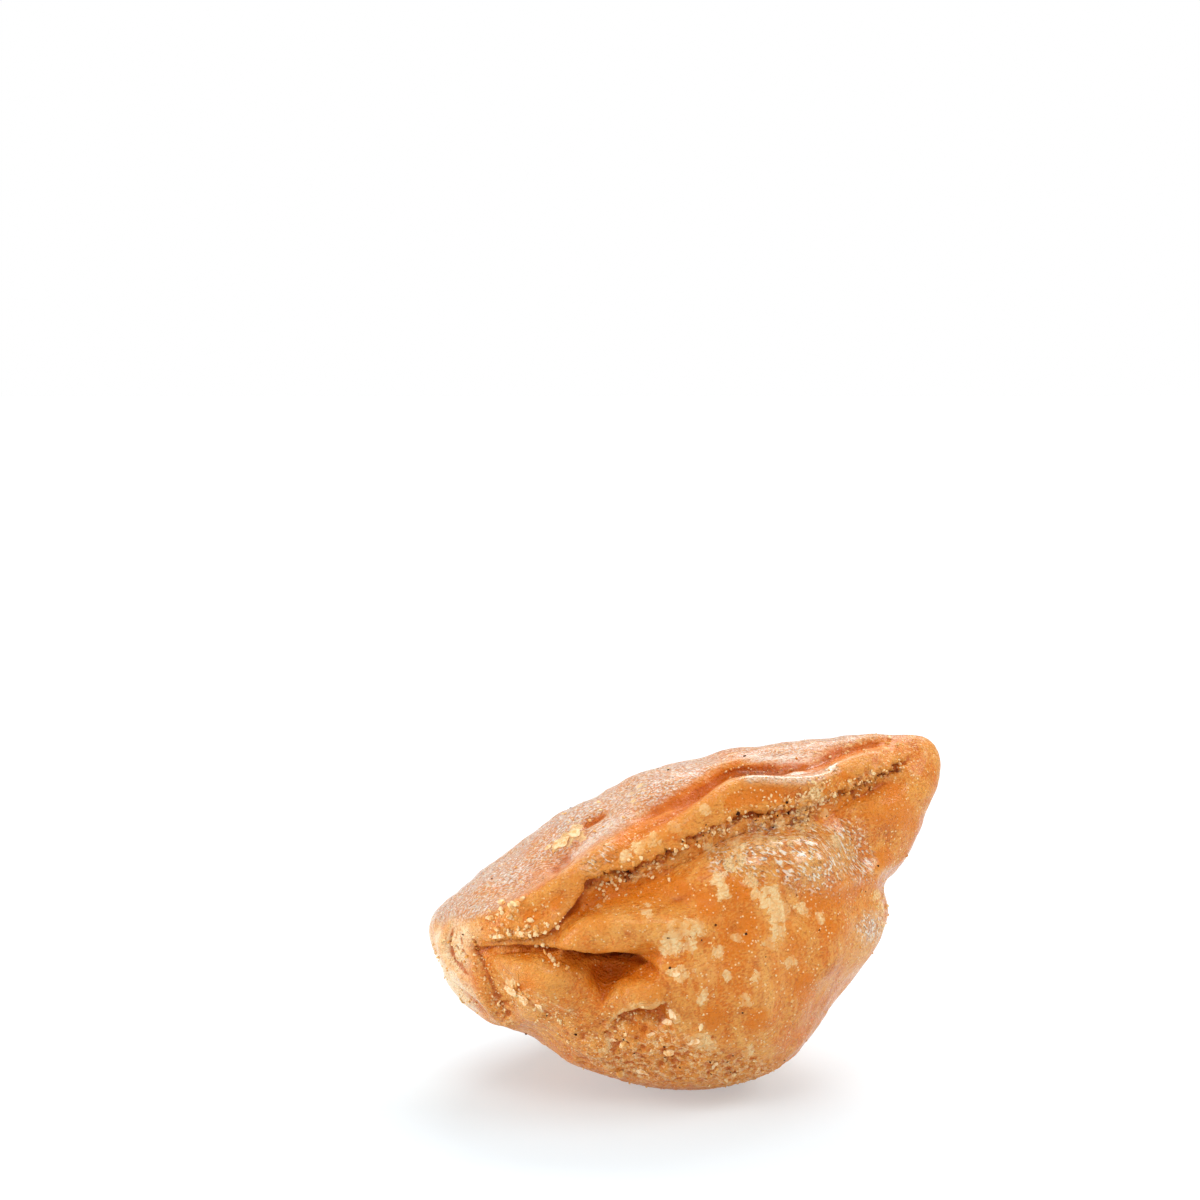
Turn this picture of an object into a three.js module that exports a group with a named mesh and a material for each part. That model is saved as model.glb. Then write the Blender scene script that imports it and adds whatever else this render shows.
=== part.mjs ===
// A deep-fried samosa lying on its side, as one closed solid of dough and filling.
//
// A samosa is a cone of dough whose mouth is pinched shut over the filling. It is shaped here in a
// moulding frame with the shut mouth facing the maker: u runs to the right, w up, and d out of the face
// towards the maker. The shaped samosa is then laid back onto its side. Lengths are in millimetres. The
// finished part has +Z up, its shut face looks along -Y, and its origin is under the middle of its box.

import * as THREE from "three";
import { mergeVertices } from "three/addons/utils/BufferGeometryUtils.js";

// Driving dimensions.
const BELLY_DEPTH = 26; // the shut face bulges this far in front of its rim
const CONE_DEPTH = 56; // from the rim back to the point of the cone
const LEAN_DEG = 12; // how far the face is laid back
const SETTLE = 1.2; // how far the soft side flattened where it rests
const FACE_CENTRE = new THREE.Vector2(2, 25);
const POINT = new THREE.Vector2(-4, 17.5); // where the point of the cone lies behind the face

// Roundness: 2 is an ellipse, and 1 would be a straight-sided cone.
const FACE_ROUNDNESS = 2.15;
const CONE_ROUNDNESS = 1.3;

// Mesh fineness.
const AROUND = 96;
const RINGS = 50;
const FACE_SHARE = 0.7; // share of the rings that lie on the shut face
const PATH_STEP = 0.4; // spacing of the samples along a pressed line

// The rim of the face as (u, w), anticlockwise from the right-hand side of the belly.
const RIM = [
  [32, 28], [31.4, 33.2], [34.6, 35.8], [37.8, 43.8], // neck and underside of the ear
  [40.6, 51.4], [39.2, 56.4], [32.5, 57.2], // ear
  [22, 56.5], [10, 54.8], [-3, 52], [-15, 47.6], [-27, 40], [-36.2, 32.8], // crown
  [-41.2, 28.6], [-42, 24.6], [-39.7, 17.6], [-35.4, 13], [-30.4, 9.8], // left corner
  [-27, 9.6], [-20, 4.8], [-10, 1.2], [0, 0], [9.5, 1.6], // heel
  [17, 5.8], [23.6, 14.4], [29.8, 21.7], // belly
];

// The ear is pinched thin, and thickens with distance from its tip.
const EAR_TIP = new THREE.Vector2(40, 55);
const EAR_THINNING = 0.62;
const EAR_REACH = 24;

// Broad rolls and hollows pressed into the face: a ridge where height is above 0, a valley where it is
// below. Each path is a list of (u, w), and its stroke fades in and out over the two lengths in fade.
const STROKES = {
  rimRoll: {
    path: [[34, 54.8], [27, 53.2], [20, 50.4], [15, 48.8], [9, 47.6], [2, 44.8], [-6, 41.4], [-14, 37],
      [-20.5, 32.8], [-26, 29.2], [-31, 26.6], [-36, 24.6]],
    height: 2, width: 2.7, fade: [8, 10],
  },
  rimGroove: {
    path: [[33, 56], [27, 55.2], [21, 53.2], [16, 52.3], [10, 51.6], [3, 49.4], [-5, 45.6], [-13, 41]],
    height: -1.5, width: 1.4, fade: [5, 9],
  },
  crownSag: { path: [[-6, 49], [-20, 40.5], [-32, 32]], height: -0.9, width: 4, fade: [8, 8] },
  underSeam: {
    path: [[22, 44.6], [14, 41.6], [5, 40.4], [-3, 35.6], [-14, 31.6]],
    height: -2, width: 3, fade: [6, 4],
  },
  neck: { path: [[33, 33], [29, 37.5], [24.6, 41.7], [19, 45.2]], height: -3.2, width: 3.6, fade: [5, 5] },
  shoulder: { path: [[24.5, 35.6], [15, 37.8], [3, 36]], height: 1.4, width: 4.4, fade: [7, 7] },
  pleatValley: { path: [[-19, 28.6], [-12, 29.6], [-4, 30.2], [5, 31]], height: -2, width: 2.5, fade: [3, 10] },
  pleatRoll: {
    path: [[-26, 24.8], [-17, 25.2], [-8, 26], [0, 26], [8, 25]],
    height: 1.8, width: 2.7, fade: [6, 14],
  },
  hollow: { path: [[-19, 21.8], [-13, 21.6], [-8, 20.8], [-4.6, 19.4]], height: -5, width: 2.2, fade: [6, 5] },
  hollowDip: { path: [[-14, 21], [-13.9, 14.6]], height: -3.2, width: 1.6, fade: [1.5, 3] },
  lowerLip: { path: [[-31, 20], [-25, 19], [-17.5, 16.2]], height: 2, width: 2.8, fade: [5, 5] },
  lipBelly: { path: [[-28, 15.4], [-20, 13.4], [-13, 12.8]], height: 1, width: 3.2, fade: [6, 5] },
  cheek: { path: [[-11.6, 15.6], [-8, 16.4], [-3.6, 15]], height: 1.5, width: 2.4, fade: [2, 4] },
  underCheek: { path: [[-12, 11.4], [-7.6, 12.2], [-3, 11]], height: -1.3, width: 1.5, fade: [2.5, 2.5] },
  cornerGroove: {
    path: [[-34.8, 25], [-33, 22], [-32, 18.8], [-30.5, 15.2], [-28.6, 11]],
    height: -2, width: 1.3, fade: [2, 3],
  },
  cornerSlot: {
    path: [[-37.7, 25.3], [-37.8, 22], [-36.8, 20], [-35.2, 18.4]],
    height: -1.3, width: 0.8, fade: [2, 2],
  },
};

// Folds, each drawn from left to right: dough on its upper side lies over a crease on its lower side.
const FOLDS = {
  seam: {
    path: [[-34, 24.6], [-29.7, 25.4], [-25.2, 25.8], [-22, 26.2], [-20, 28], [-18.2, 30.4], [-16.5, 33.1],
      [-14.4, 34.2], [-10.5, 34.8], [-7, 36.4], [-2, 38.9], [2, 41.2], [7, 43.2], [13.3, 44.2], [19, 45.9],
      [24.4, 47.8], [29.6, 50.4], [34.8, 53.6]],
    lip: 1.4, lipWidth: 3.2, crease: 2.3, creaseWidth: 1.3, overhang: 1.7, fade: [13, 5],
  },
  mouth: {
    path: [[-33.6, 23.2], [-30.6, 23.6], [-24.2, 23.4], [-19.2, 22.9], [-14.5, 22.8], [-11.5, 23.2], [-8, 22.4],
      [-4.6, 20.8]],
    lip: 0.7, lipWidth: 2.4, crease: 2.2, creaseWidth: 1.2, overhang: 1.3, fade: [3, 7],
  },
};
const FOLD_EDGE = { from: -0.6, to: 0.9 }; // the lip rises to its full height between these distances
const OVERHANG_AT = 0.8; // the dough slides furthest over the crease this far up the lip
const OVERHANG_WIDTH = 1.3;

// The dough laps over itself along a line that runs from the crown back to the point of the cone.
const LAP_TURN = 0.33; // as a turn about the face
const LAP_STEP = 1.2; // how far the dough's edge stands proud
const LAP_SPREAD = 0.1; // the turn over which the lapped dough settles back

// Shallow dents left by the maker's hands, as waves around and along the cone.
const DENTS = [
  { around: 2, along: 0.6, phase: 0.1, depth: 0.7 },
  { around: 3, along: -1.1, phase: 0.55, depth: 0.5 },
  { around: 5, along: 1.7, phase: 0.3, depth: 0.3 },
];
const RESTING_TURN = 0.79; // the side it lies on was pressed smooth
const RESTING_SPREAD = 0.17;

const rimPoints = RIM.map(([u, w]) => new THREE.Vector3(u, w, 0));
const rim = new THREE.CatmullRomCurve3(rimPoints, true, "centripetal");

// A bell curve: 1 in the middle, and almost nothing beyond two widths.
function bell(distance, width) {
  return Math.exp(-((distance / width) ** 2));
}

function withSamples(mark) {
  const curve = new THREE.SplineCurve(mark.path.map(([u, w]) => new THREE.Vector2(u, w)));
  return { ...mark, samples: curve.getSpacedPoints(Math.round(curve.getLength() / PATH_STEP)) };
}

const strokes = Object.values(STROKES).map(withSamples);
const folds = Object.values(FOLDS).map(withSamples);

// Where (u, w) lies against a pressed line: its distance, positive on the left of the line's direction,
// the way that side faces, and a strength that fades to 0 towards the line's ends.
function placeOnPath({ samples, fade }, u, w) {
  const gaps = samples.map(({ x, y }) => Math.hypot(u - x, w - y));
  const gap = Math.min(...gaps);
  const index = gaps.indexOf(gap);
  const last = samples.length - 1;
  const before = samples[Math.max(index - 1, 0)];
  const after = samples[Math.min(index + 1, last)];
  const tangent = after.clone().sub(before).normalize();
  const side = new THREE.Vector2(-tangent.y, tangent.x);
  const offset = new THREE.Vector2(u, w).sub(samples[index]);
  const fadeIn = THREE.MathUtils.smoothstep(index * PATH_STEP, 0, fade[0]);
  const fadeOut = THREE.MathUtils.smoothstep((last - index) * PATH_STEP, 0, fade[1]);
  return { distance: Math.sign(offset.dot(side)) * gap, side, strength: fadeIn * fadeOut };
}

// How far the cone's skin stands out at a turn about the face, with rise 0 on the rim and 1 at the point.
function coneRelief(around, rise) {
  const pastLap = THREE.MathUtils.euclideanModulo(around - LAP_TURN, 1);
  let relief = LAP_STEP * bell(pastLap, LAP_SPREAD);
  for (const dent of DENTS) {
    relief += dent.depth * Math.sin(2 * Math.PI * (dent.around * around + dent.along * rise + dent.phase));
  }
  const offRest = THREE.MathUtils.euclideanModulo(around - RESTING_TURN + 0.5, 1) - 0.5;
  return relief * 4 * rise * (1 - rise) * (1 - bell(offRest, RESTING_SPREAD));
}

// The plain body, before any pressing: around is the turn about the face, 0 to 1, and polar runs from 0
// at the middle of the face through 0.5 on the rim to 1 at the point of the cone.
function bodyPoint(around, polar) {
  const reach = Math.sin(polar * Math.PI);
  const onRim = rim.getPointAt(THREE.MathUtils.euclideanModulo(around, 1));
  const spoke = new THREE.Vector2(onRim.x, onRim.y).sub(FACE_CENTRE);
  const onFace = polar <= 0.5;
  const roundness = onFace ? FACE_ROUNDNESS : CONE_ROUNDNESS;
  const rise = Math.max(0, 1 - reach ** roundness) ** (1 / roundness);
  if (onFace) {
    const place = FACE_CENTRE.clone().addScaledVector(spoke, reach);
    const thinning = 1 - EAR_THINNING * bell(EAR_TIP.distanceTo(place), EAR_REACH);
    return new THREE.Vector3(place.x, place.y, BELLY_DEPTH * rise * thinning);
  }
  const place = FACE_CENTRE.clone().lerp(POINT, rise).addScaledVector(spoke, reach);
  place.addScaledVector(spoke.normalize(), coneRelief(around, rise));
  return new THREE.Vector3(place.x, place.y, -CONE_DEPTH * rise);
}

const NUDGE = 1e-3;

function bodyNormal(around, polar) {
  const clear = THREE.MathUtils.clamp(polar, 2 * NUDGE, 1 - 2 * NUDGE);
  const turn = bodyPoint(around + NUDGE, clear).sub(bodyPoint(around - NUDGE, clear));
  const fall = bodyPoint(around, clear + NUDGE).sub(bodyPoint(around, clear - NUDGE));
  return fall.cross(turn).normalize();
}

// Presses the strokes and folds into one point of the face.
function kneaded(point, normal) {
  let out = 0;
  const slide = new THREE.Vector3();
  for (const stroke of strokes) {
    const { distance, strength } = placeOnPath(stroke, point.x, point.y);
    out += stroke.height * bell(distance, stroke.width) * strength;
  }
  for (const fold of folds) {
    const { distance, side, strength } = placeOnPath(fold, point.x, point.y);
    const edge = THREE.MathUtils.smoothstep(distance, FOLD_EDGE.from, FOLD_EDGE.to);
    const lip = edge * bell(Math.max(distance, 0), fold.lipWidth);
    const crease = bell(distance + fold.creaseWidth, fold.creaseWidth);
    out += (fold.lip * lip - fold.crease * crease) * strength;
    const overhang = fold.overhang * bell(distance - OVERHANG_AT, OVERHANG_WIDTH) * strength;
    slide.add(new THREE.Vector3(-side.x * overhang, -side.y * overhang, 0));
  }
  return point.clone().addScaledVector(normal, out).add(slide);
}

function shapedPoint(around, polar) {
  const body = bodyPoint(around, polar);
  return body.z > 0 ? kneaded(body, bodyNormal(around, polar)) : body;
}

// Spreads a ball's rings over the face and the cone. down is 0 at the ball's top and 1 at its bottom.
function polarOf(down) {
  if (down < FACE_SHARE) return (0.5 * down) / FACE_SHARE;
  return 0.5 + (0.5 * (down - FACE_SHARE)) / (1 - FACE_SHARE);
}

function shapedGeometry() {
  const geometry = new THREE.SphereGeometry(1, AROUND, RINGS);
  const position = geometry.getAttribute("position");
  for (let i = 0; i < position.count; i++) {
    const ring = Math.floor(i / (AROUND + 1));
    const atPole = ring === 0 || ring === RINGS;
    const around = atPole ? 0 : (i % (AROUND + 1) % AROUND) / AROUND;
    const shaped = shapedPoint(around, polarOf(ring / RINGS));
    position.setXYZ(i, shaped.x, -shaped.z, shaped.y);
  }
  return geometry;
}

// Lays the samosa back on its side, flattens what it rests on, and centres it over the origin.
function laidDown(geometry) {
  geometry.rotateX(-THREE.MathUtils.degToRad(LEAN_DEG));
  geometry.computeBoundingBox();
  geometry.translate(0, 0, -geometry.boundingBox.min.z - SETTLE);
  const position = geometry.getAttribute("position");
  for (let i = 0; i < position.count; i++) position.setZ(i, Math.max(position.getZ(i), 0));
  geometry.computeBoundingBox();
  const centre = geometry.boundingBox.getCenter(new THREE.Vector3());
  return geometry.translate(-centre.x, -centre.y, 0);
}

// One closed skin: the ball's seam and poles are joined by place alone.
function joined(geometry) {
  geometry.deleteAttribute("normal");
  geometry.deleteAttribute("uv");
  const skin = mergeVertices(geometry, 1e-3);
  skin.computeVertexNormals();
  return skin;
}

const crust = new THREE.MeshStandardMaterial({
  color: new THREE.Color(0.8, 0.5, 0.24),
  roughness: 0.5,
  metalness: 0,
});
const samosa = new THREE.Mesh(joined(laidDown(shapedGeometry())), crust);
samosa.name = "samosa";

const part = new THREE.Group();
part.add(samosa);

export default part;
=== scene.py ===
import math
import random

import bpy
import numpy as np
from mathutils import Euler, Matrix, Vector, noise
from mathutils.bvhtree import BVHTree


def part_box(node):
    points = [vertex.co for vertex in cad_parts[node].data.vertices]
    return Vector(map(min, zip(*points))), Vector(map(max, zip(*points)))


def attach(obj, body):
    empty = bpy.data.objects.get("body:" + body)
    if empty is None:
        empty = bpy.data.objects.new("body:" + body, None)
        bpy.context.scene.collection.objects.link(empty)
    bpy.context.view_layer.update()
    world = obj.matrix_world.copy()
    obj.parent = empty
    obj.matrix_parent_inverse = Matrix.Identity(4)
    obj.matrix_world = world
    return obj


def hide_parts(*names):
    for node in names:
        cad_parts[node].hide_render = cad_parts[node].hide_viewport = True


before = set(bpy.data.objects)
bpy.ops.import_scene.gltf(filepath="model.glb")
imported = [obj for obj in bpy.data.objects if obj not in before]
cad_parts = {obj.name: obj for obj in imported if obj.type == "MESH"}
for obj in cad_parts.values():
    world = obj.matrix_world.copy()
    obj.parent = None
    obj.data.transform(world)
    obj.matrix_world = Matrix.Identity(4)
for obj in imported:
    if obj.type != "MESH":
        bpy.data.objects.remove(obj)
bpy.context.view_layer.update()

# A deep-fried samosa lying on its side on a pale studio floor.
#
# The crust starts as a copy of the CAD solid, which gives its size and its big folds. It is remeshed finely
# and then worked over along paths and spots listed below, in the moulding frame of the CAD part: u runs to
# the right, w up, and d out of the shut face, in millimetres. Creases, torn edges, blisters and pits are real
# relief.
# Crumbs, spice specks and torn flakes are pieces of their own.

MM = 0.001

# ---- The moulding frame. ----

LEAN = math.radians(12)  # the face is laid back this far
HEEL_FROM_LOW_CORNER = np.array([42.0, 21.43, 0.48])  # the heel of the face's rim, which is u 0, w 0, d 0

low_corner = np.array(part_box("samosa")[0]) / MM
heel = low_corner + HEEL_FROM_LOW_CORNER
FACE_TO_UPRIGHT = np.array([[1, 0, 0], [0, 0, -1], [0, 1, 0]])
turn = np.array(Matrix.Rotation(-LEAN, 3, "X")) @ FACE_TO_UPRIGHT


def to_mould(places):
    """Places in metres, as rows, to (u, w, d) in millimetres."""
    return (np.asarray(places) / MM - heel) @ turn


def to_frame(uwd):
    """(u, w, d) in millimetres, as rows, to places in metres."""
    return (np.asarray(uwd) @ turn.T + heel) * MM


# ---- Helpers. ----


def deselect_all():
    bpy.ops.object.select_all(action="DESELECT")


def make_active(piece):
    deselect_all()
    piece.select_set(True)
    bpy.context.view_layer.objects.active = piece


def apply_modifier(piece, kind, **settings):
    make_active(piece)
    modifier = piece.modifiers.new(kind.lower(), kind)
    for key, value in settings.items():
        setattr(modifier, key, value)
    bpy.ops.object.modifier_apply(modifier=modifier.name)


def bell(distance, width):
    """1 in the middle, and almost nothing beyond two widths."""
    return np.exp(-((distance / width) ** 2))


def ease(value, start, end):
    """0 before start, 1 after end, and smooth between."""
    part = np.clip((value - start) / (end - start), 0, 1)
    return part * part * (3 - 2 * part)


SEED_STEP = Vector((3.7, 1.9, 5.3))  # how far one seed's noise lies from the next one's
NOISE_GAIN = 1.6  # brings the noise up to about -1 to 1


def rough(places, size, seed, octaves=2):
    """Soft noise from about -1 to 1 whose lumps are about size across."""
    shift = SEED_STEP * seed
    return np.array([noise.fractal(Vector(p) / size + shift, 1.0, 2.0, octaves) for p in places]) * NOISE_GAIN


STEPS_PER_SPAN = 8


def smooth_line(path):
    """A Catmull-Rom line through the path's points."""
    points = np.array(path, dtype=float)
    ends = np.vstack([2 * points[0] - points[1], points, 2 * points[-1] - points[-2]])
    line = []
    for i in range(len(points) - 1):
        a, b, c, d = ends[i:i + 4]
        for t in np.arange(STEPS_PER_SPAN) / STEPS_PER_SPAN:
            line.append(0.5 * (2 * b + (c - a) * t + (2 * a - 5 * b + 4 * c - d) * t ** 2
                               + (3 * b - a - 3 * c + d) * t ** 3))
    line.append(points[-1])
    return np.array(line)


class Line:
    """Where the skin's points lie beside a line drawn on the face, for those near it.

    Each point of the path is (u, w) and any further numbers, such as a height, which vary smoothly along it.
    near: which of the skin's points are near; distance: positive on the line's left; side: the way its left
    faces; further: the further numbers, a column for each.
    """

    REACH = 9.0  # how far beside the line its points are still near

    def __init__(self, path, skin):
        line = smooth_line(path)
        low, high = line[:, :2].min(axis=0) - self.REACH, line[:, :2].max(axis=0) + self.REACH
        inside = np.all((skin.points[:, :2] > low) & (skin.points[:, :2] < high), axis=1)
        self.near = np.nonzero(inside & (skin.points[:, 2] > skin.RIM_DEPTH))[0]
        at = skin.points[self.near, :2]
        start, step = line[:-1, :2], np.diff(line[:, :2], axis=0)
        length = np.hypot(*step.T)
        offset = at[:, None, :] - start[None]
        share = np.clip((offset * step).sum(axis=2) / length ** 2, 0, 1)
        gap = np.hypot(*np.moveaxis(offset - share[:, :, None] * step, 2, 0))
        best = gap.argmin(axis=1)
        rows = np.arange(len(at))
        heading = step[best] / length[best][:, None]
        self.side = np.column_stack([-heading[:, 1], heading[:, 0]])
        sign = np.sign((offset[rows, best] * self.side).sum(axis=1))
        self.distance = gap[rows, best] * np.where(sign == 0, 1, sign)
        part = share[rows, best][:, None]
        self.further = (line[best, 2:] * (1 - part) + line[best + 1, 2:] * part).T


# ---- The crust. ----

SKIN_CELL = 0.475 * MM  # keeps the crust just under 200,000 triangles
SOOTHE_ROUNDS = 5  # take off the steps that remeshing leaves


class Skin:
    """The crust's points in the moulding frame, and the marks that its material reads."""

    RIM_DEPTH = -6.0  # lines drawn on the face reach this far behind its rim

    def __init__(self, piece):
        self.piece = piece
        mesh = piece.data
        self.count = len(mesh.vertices)
        self.edges = np.empty(len(mesh.edges) * 2, dtype=np.int32)
        mesh.edges.foreach_get("vertices", self.edges)
        self.edges = self.edges.reshape(-1, 2)
        self.neighbours = np.bincount(self.edges.ravel(), minlength=self.count)
        self.marks = {}
        places = np.empty(self.count * 3, dtype=np.float32)
        mesh.vertices.foreach_get("co", places)
        self.points = to_mould(places.reshape(-1, 3))
        self.refresh()

    def refresh(self):
        """Puts the points back into the mesh and works out the normals anew."""
        mesh = self.piece.data
        places = to_frame(self.points)
        mesh.vertices.foreach_set("co", places.astype(np.float32).ravel())
        mesh.update()
        normals = np.empty(self.count * 3, dtype=np.float32)
        mesh.vertex_normals.foreach_get("vector", normals)
        self.normals = normals.reshape(-1, 3) @ turn

    def averaged(self, values):
        """Each point's mean over its neighbours."""
        total = np.zeros((self.count, values.shape[1]))
        a, b = self.edges.T
        for k in range(values.shape[1]):
            total[:, k] = np.bincount(a, values[b, k], self.count) + np.bincount(b, values[a, k], self.count)
        return total / self.neighbours[:, None]

    def smoothed(self, rounds):
        """The points, each drawn halfway to the mean of its neighbours in every round."""
        points = self.points.copy()
        for _ in range(rounds):
            points += (self.averaged(points) - points) * 0.5
        return points

    def soothe(self, rounds):
        self.points = self.smoothed(rounds)
        self.refresh()

    def fill(self, amount, rounds):
        """Fills hollows as putty would, by amount 0 to 1 at each point, and takes nothing off."""
        for _ in range(rounds):
            gap = ((self.averaged(self.points) - self.points) * self.normals).sum(axis=1)
            self.raise_by(np.maximum(gap, 0) * amount)
        self.refresh()

    def raise_by(self, height):
        self.points += self.normals * height[:, None]

    def heights(self):
        """How far above the floor each point is, in millimetres."""
        return to_frame(self.points)[:, 2] / MM

    def mark(self, name, value):
        """Keeps the strongest value that a mark has had at each point."""
        self.marks[name] = np.maximum(self.marks.get(name, np.zeros(self.count)), value)

    def mark_near(self, name, line, value):
        full = np.zeros(self.count)
        full[line.near] = value
        self.mark(name, full)

    def write_marks(self):
        for name, value in self.marks.items():
            layer = self.piece.data.attributes.new(name, "FLOAT", "POINT")
            layer.data.foreach_set("value", value.astype(np.float32))


def merged_copy(node, name):
    """A copy of a CAD node's mesh, with its loose triangles joined into one skin."""
    piece = bpy.data.objects.new(name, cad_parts[node].data.copy())
    bpy.context.scene.collection.objects.link(piece)
    make_active(piece)
    bpy.ops.object.mode_set(mode="EDIT")
    bpy.ops.mesh.select_all(action="SELECT")
    bpy.ops.mesh.remove_doubles(threshold=0.01 * MM)
    bpy.ops.mesh.customdata_custom_splitnormals_clear()
    bpy.ops.object.mode_set(mode="OBJECT")
    for layer in list(piece.data.uv_layers):
        piece.data.uv_layers.remove(layer)
    return piece


# Folds of dough over a crease that has painted shade in and round it. The dough on the path's left lies over
# the crease on its right, and each point of the path is (u, w, strength).
FOLDS = {
    "flap": dict(
        path=[(-34, 24.2, 0), (-32, 24.6, 0.7), (-29, 25.2, 1), (-25, 25.4, 1), (-22.3, 26, 1),
              (-20.6, 27.9, 1), (-18.6, 30.4, 1), (-17, 32.6, 0.8), (-15.2, 33.9, 0)],
        crease=1.0, width=0.7, lip=0.55, lip_width=1.4, overhang=0.8, ragged=0.12, crease_shade=0.7),
    "seam": dict(
        path=[(-17.6, 32.8, 0), (-15.4, 34, 0.9), (-12.5, 34.8, 1), (-10.5, 34.9, 1), (-7, 36.5, 0.5),
              (-4, 37.7, 0.8), (-2, 39.1, 0.9), (2, 41.3, 0.5), (7, 43.5, 0.6), (10, 44, 0.9),
              (13.3, 44.5, 0.7), (16.4, 45, 0.3), (19, 45.6, 0.2), (22, 46.9, 0.7), (25, 48.2, 1),
              (29.6, 50.5, 1.1), (33, 52.4, 0.8), (35.4, 53.8, 0)],
        crease=1.5, width=0.6, lip=0.6, lip_width=1.2, overhang=0.7, ragged=0.8, crease_shade=0.75),
    "mouth": dict(
        path=[(-35, 22.6, 0), (-32, 23.3, 0.7), (-28, 23.6, 0.9), (-24.4, 23.6, 1), (-19.6, 23, 1.1),
              (-15, 22.6, 1.3), (-12.2, 22.9, 1.3), (-10, 22.4, 0.9), (-7.6, 21.3, 0.45), (-5.4, 19.7, 0.2),
              (-4, 17.8, 0.12), (-3.6, 16, 0.1), (-4, 14.6, 0)],
        crease=1.7, width=0.6, lip=0.3, lip_width=1.4, overhang=0.7, ragged=0.07, crease_shade=1),
    "cheek_edge": dict(
        path=[(-13.4, 10.4, 0), (-12.6, 11.8, 0.5), (-10.8, 13.3, 0.9), (-8.6, 14.0, 1), (-6.7, 13.8, 1.0),
              (-5.3, 14.5, 0.9), (-4.2, 14.6, 0.4), (-3.2, 14, 0)],
        crease=1.6, width=0.9, lip=0.6, lip_width=0.6, overhang=0.6, ragged=0.25, crease_shade=0.3, pale=1),
}

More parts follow.
